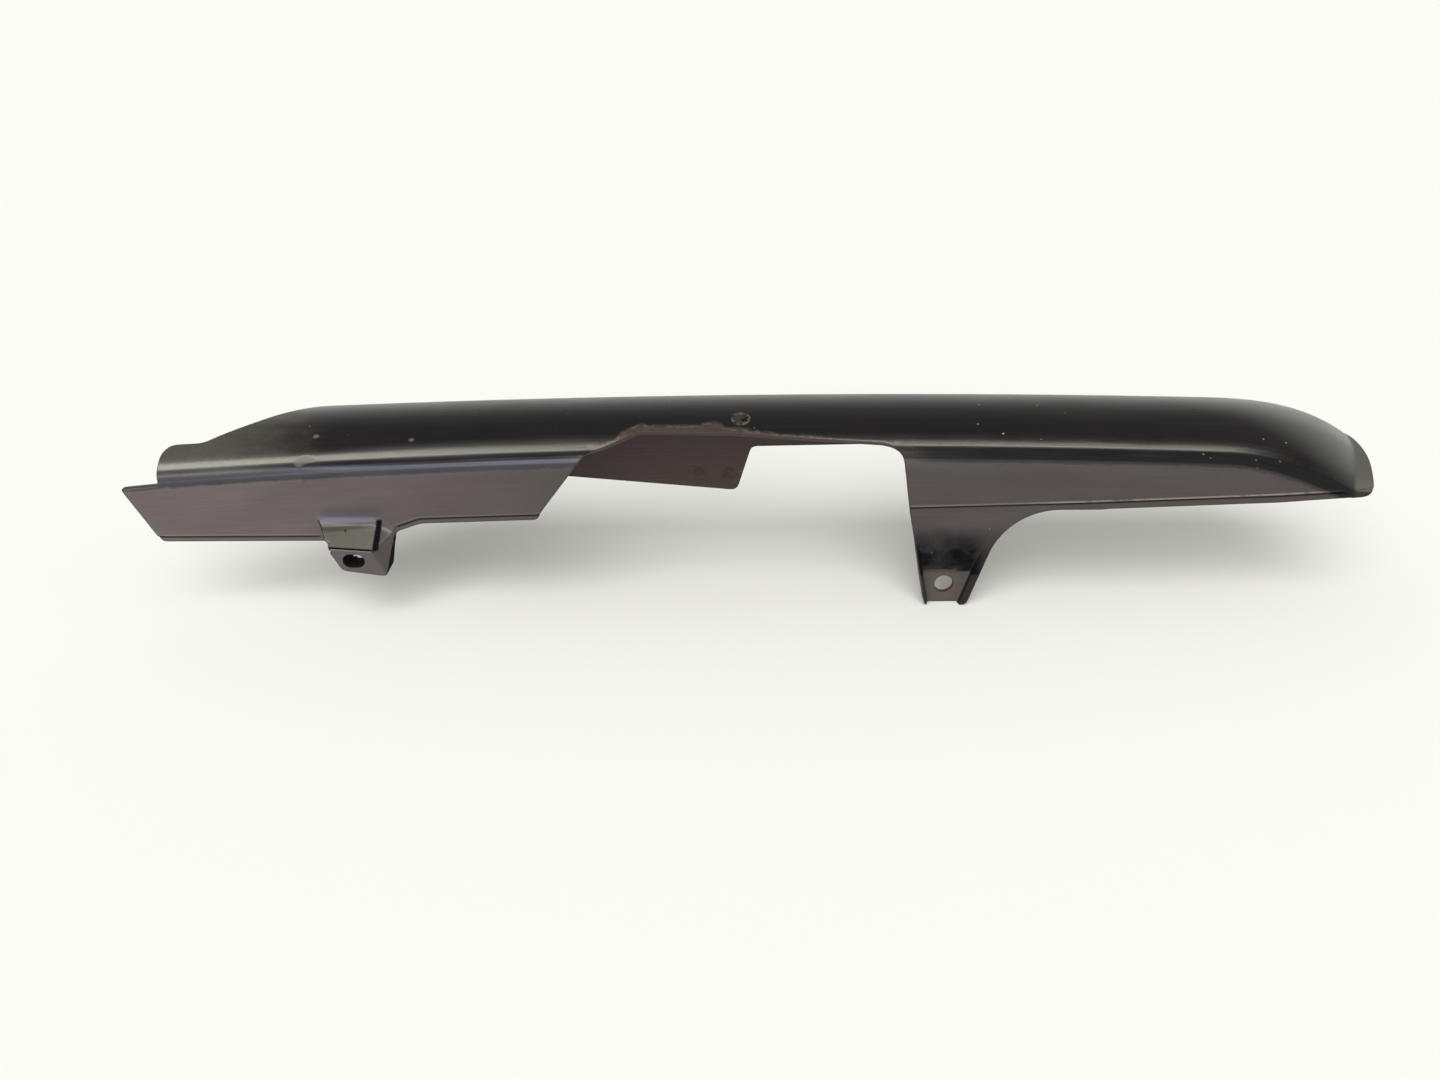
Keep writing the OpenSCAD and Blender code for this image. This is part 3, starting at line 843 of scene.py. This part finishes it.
normal_side, _, normal_up = parts_of(paint.node("ShaderNodeNewGeometry", give=1))
upright_face = above(0.3, normal_up, 0.5) * outer_face
left = above(-228.0, along, 200.0)
on_left = above(-60.0, along, 160.0)
skirt = above(-2.6 - on_left * 0.8 + (patches - 0.5) * 1.4, across, 1.6) * upright_face
bracket_zone = between(along, -PITCH - 15.5, -PITCH + 17.5, 1.0) * between(across, -50.0, -26.0, 1.0)
tray_zone = between(px, -16.0, 22.0, 4.0) * between(pz, -12.0, 27.0, 9.0)
# The skirt's haze is also painted light: its upright faces are painted lighter, as if lit by the white table,
# and more so toward the front.
haze_and_painted_light = (skirt * (0.09 + left * 0.145) * (0.3 + streaks * 0.55 + long_streaks * 0.4 + clouds * 0.45)
        * (1.0 - tray_zone * 0.8))
front_roof = above(-275.0, along + (patches - 0.5) * 30.0, 45.0) * above(across, 1.0, 3.0) * outer_face
# Toward the roof's far edge the streaks get a painted sheen, which stands in for that edge's reflection of the
# bright room.
roof_streaks_and_sheen = 0.004 + above(long_streaks, 0.56, 0.2) * 0.008 + above(across, 40.0, 34.0) * 0.06
haze_and_painted_light = haze_and_painted_light + (1.0 - skirt) * outer_face * roof_streaks_and_sheen * (0.3 + clouds * 1.4)

# Tan dust has caught on the roof, over the skirt's opening, and ends in a ragged line.
DUST_FROM, DUST_TO = -150, -10
dust_line = paint.node("ShaderNodeValToRGB", {"stops": stops(
    [(DUST_FROM, 0.2), (-138, 0.40), (-136, 0.58), (-129, 0.78), (-118, 0.76), (-104, 0.76), (-100, 0.84),
     (-97, 0.82), (-94, 0.7), (-81, 0.56), (-72, 0.48), (-50, 0.36), (-26, 0.24), (DUST_TO, 0.1)],
    DUST_FROM, DUST_TO)}, Fac=(along - DUST_FROM) / (DUST_TO - DUST_FROM))
dust_edge = dust_line * 20.0 + (patches - 0.5) * 3.0 + (specked - 0.5) * 2.5
dust_band = (above(dust_edge, across, 2.4) * between(along, -152.0, -16.0, 14.0) * outer_face
             * above(across, -3.0, 3.0))
dust_line = dust_band * above(across, dust_edge - 1.5, 0.9)
dust_band = dust_band * (0.2 + specked * 0.8) * 0.6 + dust_line * above(specked, 0.55, 0.3) * 0.4

# Dust has caught on the gate mark's ring and inside it, and the pit and a nick beside it are black.
gate_x, gate_s = (float(v) for v in GATE)
gate = ((along - gate_x) ** 2.0 + (across - gate_s) ** 2.0) ** 0.5
gate_dust = (between(gate, 2.7, 3.9, 0.8) * above(specked, 0.48, 0.16)
             + above(3.0, gate, 0.8) * specked * 0.5) * outer_face * 0.8
gate_dark = spot(-86.0, gate_s - 0.9, 1.3, 1.2) + spot(-84.7, gate_s + 0.6, 0.9)

# The hem's edge is scuffed light where things have rubbed on it, most at the rear, and it carries a painted
# highlight along its whole length, stronger toward the front. A painted shadow lies in the step over it.
hem_zone = outer_face * above(1.5, across, 1.0) * (1.0 - bracket_zone)
hem_light = between(hem, 0.25, 1.0, 0.5) * hem_zone
hem_step_shadow = between(hem, -0.9, 0.2, 0.5) * hem_zone
scuffs_and_highlight = hem_light * (above(patches, 0.42, 0.16) * between(along, 36.0, 150.0, 20.0)
                      + between(along, -24.0, 40.0, 20.0) * 0.35 + 0.2 + left * 0.2)

# Grey dust lies on the lip, the flatter strip along the rounded end of the bill.
lip_u = px - LIP_SKEW * (py + PAD_Y)
lip = above(lip_u, BILL_END - 0.2, 2.6) * outer_face * above(across, -12.0, 10.0)

# Over the ledge on the front box a painted highlight lies along the fillet, with painted shade just above it.
# Painted shade lies in the grooves on three sides of the ledge and in the small pit in it.
box_x, box_z = px + PITCH, pz - (SLOT_Z + CREASE_H)
fillet_highlight = between(box_z, 14.0, 16.2, 1.4) * between(box_x, -14.0, 10.0, 4.0) * outer_face
over_fillet_shade = between(box_z, 16.4, 20.5, 3.0) * between(box_x, -12.0, 12.0, 6.0) * outer_face
groove_shade = between(box_x - (box_z - 4.0) * 0.135, 7.9, 10.2, 0.9) * between(box_z, 4.0, 15.0, 1.6)
groove_shade = groove_shade.most(between(box_x + (box_z - 5.4) * 0.4536, -10.5, -9.7, 0.5) * between(box_z, 4.8, 15.0, 1.0))
groove_shade = groove_shade.most(between(box_z + (box_x + 10.2) * 0.078, 5.6, 6.3, 0.4) * between(box_x, -10.5, 8.0, 0.8))
pit = ((box_x + 3.2) ** 2.0 + (box_z - 11.3) ** 2.0) ** 0.5
groove_shade = groove_shade.most(above(0.5, pit, 0.3) * 0.7) * outer_face
# The ledge faces up and is painted lighter, which stands in for the light it reflects from above.
lit_ledge = bracket_zone * above(normal_up, 0.45, 0.3) * above(0.25, normal_side, 0.2) * outer_face

# The rear tab's pad is dusty up to the foot of the ramp, where a thin line of dust lies. The ramp is painted
# black as shade, and the ribs beside it are black with soot.
pad = (between(px, -14.0, 12.0, 5.0) * above(7.0, pz, 3.0) * above(py, -0.9, 0.6) * outer_face
       * above(1.0, across, 1.0))
tab_face = outer_face * above(1.0, across, 1.0) * between(px, -30.0, 30.0, 4.0)
ramp_shade = between(px, -15.0, 13.0, 7.0) * above(pz, 6.2, 1.4) * above(24.0, pz, 14.0) * tab_face
pad_line = between(pz, 6.4, 7.4, 0.6) * between(px, -9.0, 5.0, 4.0) * tab_face
down = pz - (TAB_BOTTOM + CREASE_H)
ribs = (above(px - down * TAB_RIGHT_LEAN, TAB_RIGHT - REAR_RIB_W, 0.7)
        + above(TAB_RIGHT - TAB_W + RIB_W, px + down * TAB_LEFT_LEAN, 0.7))
ribs = ribs.clamp() * above(19.0, pz, 9.0) * tab_face

# Chips and specks on the roof, the larger ones by place (along, across, radius, strength), and a
# crescent scar over the crease. The moulding's inner side is scratched and smudged.
specks = fine_specks * 0.4
for x, s, radius, strength in (
        (-260, 15.5, 1.2, 0.2), (-220.5, 11.7, 1.1, 0.18), (11.5, 28, 0.6, 0.5), (8.6, 14.9, 0.6, 0.5),
        (18.2, 10, 0.8, 0.6), (45.7, 22.1, 0.6, 0.4), (98, 2.6, 0.8, 0.7), (101, 1.1, 0.6, 0.5),
        (119.6, 1.8, 0.7, 0.7), (129.8, 3.4, 0.8, 0.6), (124.3, 11.5, 0.6, 0.5), (134.2, 12.1, 0.6, 0.5),
        (120.7, -1.3, 0.5, 0.5)):
    radius = radius * (0.6 if x > -100 else 1.0)
    specks = specks.most(spot(x, s, radius, 1.3) * (strength * 0.85 * outer_face))
crescent = (spot(-262.8, 4.0, 3.2, 1.5) - spot(-260.9, 1.8, 3.0, 1.5)).clamp() * outer_face

inner_side = 1.0 - outer_face
scratches = above(noise(0.02, 3.2, 3.0, 0.7, 31.0), 0.62, 0.12)
smudges = (spot(-105.0, 99.0, 3.2, 1.3) + spot(-92.0, 100.0, 3.6, 1.3)).clamp() * above(specked, 0.5, 0.24)

# The colours in layers over the bare black plastic, each a colour and how much of it shows: dirt, dust, wear
# and chips, and painted sheens, highlights and shade.
BARE_BLACK = (0.0085, 0.008, 0.0083, 1)
WARM_HAZE_AND_PAINTED_LIGHT, ROOF_FILM = (0.38, 0.275, 0.275, 1), (0.16, 0.15, 0.12, 1)
END_PAINTED_SHEEN, CREASE_PAINTED_HIGHLIGHT = (0.13, 0.13, 0.115, 1), (0.13, 0.13, 0.18, 1)
CHAIN_DIRT, BARE_SCRATCH, OIL_SMUDGE = (0.052, 0.031, 0.027, 1), (0.16, 0.11, 0.09, 1), (0.012, 0.01, 0.01, 1)
TAN_DUST, RUBBED_EDGE_AND_HIGHLIGHT = (0.2, 0.15, 0.11, 1), (0.3, 0.24, 0.19, 1)
SCAR, SHADOW_AND_PIT_BLACK = (0.12, 0.1, 0.085, 1), (0.006, 0.006, 0.006, 1)
LIP_DUST, LEDGE_PAINTED_LIGHT = (0.078, 0.073, 0.056, 1), (0.095, 0.09, 0.072, 1)
PAD_DUST, PAD_LINE_DUST = (0.075, 0.058, 0.048, 1), (0.2, 0.18, 0.14, 1)
FILLET_PAINTED_HIGHLIGHT, FILLET_PAINTED_SHADE = (0.13, 0.13, 0.2, 1), (0.03, 0.026, 0.04, 1)
CHIP = (0.55, 0.5, 0.42, 1)
# A painted sheen on the bill's rear end, where the roof turns up toward the bright room behind.
rear_end_sheen = above(across + (px - 156.0) * 0.42, 12.0, 24.0) * above(px, 100.0, 80.0) * outer_face
# A painted bluish highlight runs along the crease on the front half, fading out at the very front.
crease_highlight = between(across, -1.0, 0.8, 0.8) * on_left * outer_face
colour = BARE_BLACK
for layer, share in (
        (WARM_HAZE_AND_PAINTED_LIGHT, haze_and_painted_light.clamp()),
        (ROOF_FILM, front_roof * (0.06 + specked * 0.3 + clouds * 0.3)),
        (END_PAINTED_SHEEN, rear_end_sheen * 0.7),
        (CREASE_PAINTED_HIGHLIGHT, crease_highlight * (0.1 + above(along, -230.0, 120.0) * 0.28)),
        (CHAIN_DIRT, inner_side * (0.55 + clouds * 0.5)),
        (BARE_SCRATCH, inner_side * scratches * 0.5),
        (OIL_SMUDGE, inner_side * smudges * 0.7),
        (TAN_DUST, (dust_band * 0.6 + gate_dust * 0.7).clamp()),
        (RUBBED_EDGE_AND_HIGHLIGHT, (scuffs_and_highlight * 0.55).clamp()),
        (SCAR, crescent),
        (SHADOW_AND_PIT_BLACK, (hem_step_shadow * 0.75 + gate_dark * 0.6).clamp()),
        (LIP_DUST, lip * (0.6 + patches * 0.5).clamp()),
        (LEDGE_PAINTED_LIGHT, lit_ledge * (0.8 + specked * 0.3).clamp()),
        (PAD_DUST, pad * (0.4 + patches * 0.8)),
        (PAD_LINE_DUST, pad_line * (0.2 + specked * 0.6)),
        (FILLET_PAINTED_HIGHLIGHT, fillet_highlight * 0.6),
        (FILLET_PAINTED_SHADE, over_fillet_shade * 0.5),
        (CHIP, specks)):
    colour = blended(colour, layer, share)
dusty = (dust_band + gate_dust + lip + crescent + pad + inner_side * 0.7).clamp()
crease = between(across, -6.0, 8.0, 3.0)
roughness = (0.33 + skirt * 0.08 - crease * 0.1 + (streaks - 0.5) * 0.2 + (clouds - 0.5) * 0.2
             + (patches - 0.5) * 0.08 + dusty * 0.3 - lit_ledge * 0.12)
height = (streaks * 0.012 + long_streaks * 0.02) * (0.3 + skirt) + grain * 0.008 * (1.0 + lip * 5.0)
height = height + dusty * patches * 0.05 - scratches * inner_side * 0.03 + specks * 0.05 - crescent * 0.1
# The crease eases in over a few millimetres on the skirt, and rolls softly onto the roof at the front.
height = height - outer_face * (1.9 - on_left * 0.7) * ((across + 8.0 - on_left * 2.0) / 10.8).smooth()
onto_roof = (across - 1.2 + above(-240.0, along, 120.0) * 1.7) / (9.2 + on_left * 1.1)
height = height + outer_face * (2.15 + on_left * 0.25) * onto_roof.smooth()
bumped = paint.node("ShaderNodeBump", Strength=1.0, Distance=MM, Height=height)
for name, value in (("Base Color", colour), ("Roughness", roughness.clamp(0.15, 0.9)), ("Normal", bumped)):
    paint.tree.links.new(value.socket, shader.inputs[name])

# A matt black with no shine paints shade: it fills the tab's ramp, the hem's step, the grooves and the inside
# of the front box, and it lies along the crease as a dark band. Greasy soot, with no shine either, lies on the
# tab's ribs and on the inner side, where it is brown.
SHADE_AND_SOOT_BLACK, SOOT_BROWN = (0.007, 0.0065, 0.0078, 1), (0.045, 0.024, 0.021, 1)
grease = noise(0.08, 0.1, 4.0, 0.6, 41.0)
soot_and_shade = (ramp_shade * (0.45 + above(grease, 0.48, 0.3) * 0.6) + ribs * 0.5 + hem_step_shadow * 0.6
        + gate_dark * 0.8 + groove_shade * 1.1)
soot_and_shade = soot_and_shade + inner_side * (0.3 + bracket_zone * 0.6 + smudges * 0.3)
soot_and_shade = soot_and_shade + outer_face * (between(across, -1.4, 4.2, 1.2) * (1.0 - on_left) * 0.7
                            + between(across, 1.8, 4.0, 1.2) * on_left
                            * (0.2 + above(along, -240.0, 140.0) * 0.7))
soot_and_shade_colour = blended(SHADE_AND_SOOT_BLACK, SOOT_BROWN, inner_side * (1.0 - bracket_zone))
dull = paint.node("ShaderNodeBsdfPrincipled", Base_Color=soot_and_shade_colour, Roughness=1.0, Specular_IOR_Level=0.0)
finish = paint.node("ShaderNodeMixShader", i0=soot_and_shade.clamp(), i1=Flow(paint.tree, shader.outputs[0]), i2=dull)
paint.tree.links.new(finish.socket, plastic.node_tree.nodes["Material Output"].inputs["Surface"])

# The formed moulding is the whole guard: it takes the place of the plain solid in the same frame.
blank.polygons.foreach_set("use_smooth", [True] * len(blank.polygons))
guard = bpy.data.objects.new("moulded_guard", blank)
scene.collection.objects.link(guard)
form = guard.modifiers.new("form", "NODES")
form.node_group = forming
for name, value in FORM_SIZES.items():
    form[form_sockets[name]] = value
form[form_sockets["Plastic"]] = plastic
bpy.context.view_layer.update()
formed = bpy.data.meshes.new_from_object(guard.evaluated_get(bpy.context.evaluated_depsgraph_get()))
guard.modifiers.remove(form)
guard.data = formed
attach(guard, "root")
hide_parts("chain_guard")

# The studio's table is wide, white and matt, and lies level just under the guard's lowest point, so
# that the guard's soft shadow falls on it.
TABLE_Z, TABLE_REACH = CAD_LOW.z - 0.0002, 12.0
TABLE_WHITE = (0.9, 0.905, 0.855, 1)
floor_mesh = bpy.data.meshes.new("studio_floor")
table_corners = [(x * TABLE_REACH, y * TABLE_REACH, TABLE_Z) for x, y in ((-1, -1), (1, -1), (1, 1), (-1, 1))]
floor_mesh.from_pydata(table_corners, [], [(0, 1, 2, 3)])
studio_floor = bpy.data.objects.new("studio_floor", floor_mesh)
scene.collection.objects.link(studio_floor)
white = bpy.data.materials.new("white_table")
white.use_nodes = True
for name, value in (("Base Color", TABLE_WHITE), ("Roughness", 1.0), ("Specular IOR Level", 0.0)):
    white.node_tree.nodes["Principled BSDF"].inputs[name].default_value = value
floor_mesh.materials.append(white)
studio_floor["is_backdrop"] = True

# The room round the table is white at the height of the table, and grows dark overhead, sooner in
# front than behind, so that the roof stays black and only its top edge shines.
ROOM_WHITE, ROOM_DARK, WALL_WHITE, ROOM_FILL = (1, 1, 0.97, 1), 0.06, 0.97, 0.5
world = bpy.data.worlds.new("studio")
scene.world = world
world.use_nodes = True
room = Flow(world.node_tree)
rays = room.node("ShaderNodeLightPath")
seen = {name: Flow(room.tree, rays.socket.node.outputs[name])
        for name in ("Is Camera Ray", "Is Glossy Ray", "Is Transmission Ray")}
shows = seen["Is Camera Ray"].most(seen["Is Glossy Ray"]).most(seen["Is Transmission Ray"])
heading = room.node("ShaderNodeTexCoord")
apart = room.node("ShaderNodeSeparateXYZ", Vector=heading)
toward_back, height_in_room = (Flow(room.tree, apart.socket.node.outputs[k]) for k in (1, 2))
behind = (toward_back * 2.0 + 0.5).smooth()
glow = 1.0 - ((height_in_room - 0.06) / (0.28 + behind * 0.66)).smooth()
low_wall = 1.0 - ((height_in_room - 0.09) / 0.11).smooth()
room_light = ROOM_DARK + glow * (0.36 + behind * 0.6)
room_light = room_light + (WALL_WHITE - room_light) * low_wall
background = world.node_tree.nodes["Background"]
background.inputs["Color"].default_value = ROOM_WHITE
strength = ROOM_FILL * (1.0 - shows) + room_light * shows
world.node_tree.links.new(strength.socket, background.inputs["Strength"])


# Soft daylight comes from high in front. A long narrow softbox, whose reflection draws the bright line
# along the crease, and a low window strip, for the skirt's cool line, show in reflections only.
def aimed(name, kind, at, look, energy):
    data = bpy.data.lights.new(name, kind)
    data.energy = energy
    obj = bpy.data.objects.new(name, data)
    scene.collection.objects.link(obj)
    obj.location = at
    obj.rotation_euler = (Vector(look) - Vector(at)).to_track_quat("-Z", "Y").to_euler()
    return obj


CREASE_MIDDLE = (-0.1, 0, 0.06)
daylight = aimed("daylight", "SUN", (-0.3, -1.2, 1.25), (0, 0, 0), 2.585)
daylight.data.angle = math.radians(60)
daylight.visible_glossy = False
for name, at, watts, long, tall, tint in (
        ("softbox", (-0.3, -1.5, 1.05), 52, 3.4, 0.5, (1.0, 0.97, 0.84)),
        ("window", (-0.9, -1.8, 0.1), 10, 2.8, 0.16, (0.7, 0.74, 1.0))):
    strip = aimed(name, "AREA", at, CREASE_MIDDLE, watts)
    strip.data.shape, strip.data.size, strip.data.size_y, strip.data.color = "RECTANGLE", long, tall, tint
    strip.visible_diffuse = False
scene.view_settings.view_transform = "Standard"

low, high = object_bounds()
